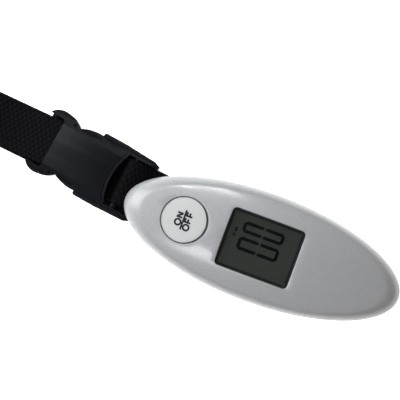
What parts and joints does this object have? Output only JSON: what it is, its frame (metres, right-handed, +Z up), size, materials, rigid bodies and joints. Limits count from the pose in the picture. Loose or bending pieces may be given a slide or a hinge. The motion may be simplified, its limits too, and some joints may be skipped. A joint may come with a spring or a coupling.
{
  "type": "digital luggage scale",
  "caption": "Oval hand-held hanging scale with a display window, power button, steel link and webbing strap with a side-release buckle.",
  "frame": {"origin": "on the supporting surface, under the middle of the oval casing", "axes": "+X along the oval away from the strap, +Y across it, +Z up on the display side"},
  "size_m": [0.2833, 0.0612, 0.0297],
  "materials": {
    "casing_silver": "light silver metallic paint on a plastic moulding, satin gloss",
    "underside_silver": "silver-grey moulded plastic, fine matt texture",
    "window_clear": "clear polished plastic window",
    "lcd_glass": "dark grey-green display panel",
    "black_foam": "black adhesive foam",
    "white_plastic": "white moulded plastic",
    "button_white": "off-white fine matt moulded plastic",
    "silicone": "layered conductive silicone",
    "board_green": "green solder mask on glass-fibre board",
    "resin_black": "black potting resin",
    "switch_black": "black moulded switch parts",
    "cell_steel": "stainless coin cell can",
    "contact_nickel": "nickel-plated spring steel",
    "steel_zinc": "bright zinc-plated steel",
    "beam_aluminium": "machined aluminium",
    "gauge_film": "amber polyimide strain gauge film",
    "wire_red": "insulated thin wire",
    "link_chrome": "bright chromed steel wire",
    "buckle_black": "black acetal, slightly satin",
    "webbing_black": "coarse black plain-woven webbing",
    "thread_black": "black polyester sewing thread"
  },
  "bodies": {
    "housing": {"top_cover": "casing_silver", "bottom_cover": "underside_silver", "casing_screws": "steel_zinc", "display_window": "window_clear", "window_gasket": "black_foam", "lcd_panel": "lcd_glass", "lcd_frame": "white_plastic", "lcd_connector_strips": "silicone", "main_board": "board_green", "board_screws": "steel_zinc", "scale_chip": "resin_black", "switch_body": "switch_black", "coin_cell": "cell_steel", "battery_contact_negative": "contact_nickel", "battery_contact_positive": "contact_nickel", "load_beam": "beam_aluminium", "strain_gauges": "gauge_film", "gauge_wires": "wire_red", "beam_screws": "steel_zinc", "eye_bolt": "steel_zinc", "eye_washer": "steel_zinc", "eye_nut": "steel_zinc"},
    "button": {"power_button": "button_white", "switch_plunger": "switch_black"},
    "door": {"battery_door": "underside_silver"},
    "link": {"link_ring": "link_chrome"},
    "strap": {"strap_under_run": "webbing_black", "strap_short_loop": "webbing_black", "bar_tack": "thread_black", "buckle_plug": "buckle_black"},
    "socket": {"buckle_socket": "buckle_black", "strap_top_run": "webbing_black"},
    "prong_n": {"prong_north": "buckle_black"},
    "prong_s": {"prong_south": "buckle_black"}
  },
  "joints": [
    {"name": "button_press", "type": "slide", "parent": "housing", "child": "button", "axis": [0, 0, -1], "range_m": [0, 0.0008], "stiffness_N_per_m": 400},
    {"name": "battery_door_open", "type": "hinge", "parent": "housing", "child": "door", "pos_m": [0.0283, 0, 0.0001], "axis": [0, 1, 0], "range_deg": [0, 75]},
    {"name": "link_swing", "type": "hinge", "parent": "housing", "child": "link", "pos_m": [0, 0, 0.0033], "axis": [-0.0958, -0.9954, 0], "range_deg": [0, 100]},
    {"name": "strap_swing", "type": "hinge", "parent": "link", "child": "strap", "pos_m": [-0.01792, 0.00172, 0.0033], "axis": [-0.0958, -0.9954, 0], "range_deg": [0, 60]},
    {"name": "buckle_release", "type": "slide", "parent": "strap", "child": "socket", "axis": [-0.9877, 0.1564, 0], "range_m": [0, 0.03], "deforming": ["prong_north", "prong_south"]},
    {"name": "prong_squeeze_north", "type": "hinge", "parent": "strap", "child": "prong_n", "pos_m": [-0.08464, 0.01735, 0.0069], "axis": [0, 0, 1], "range_deg": [0, 10], "stiffness_Nm_per_rad": 0.3},
    {"name": "prong_squeeze_south", "type": "hinge", "parent": "strap", "child": "prong_s", "pos_m": [-0.08758, -0.00122, 0.0069], "axis": [0, 0, 1], "range_deg": [-10, 0], "stiffness_Nm_per_rad": 0.3}
  ],
  "couplings": [
    {"joint": "prong_squeeze_south", "follows": "prong_squeeze_north", "ratio": -1}
  ]
}
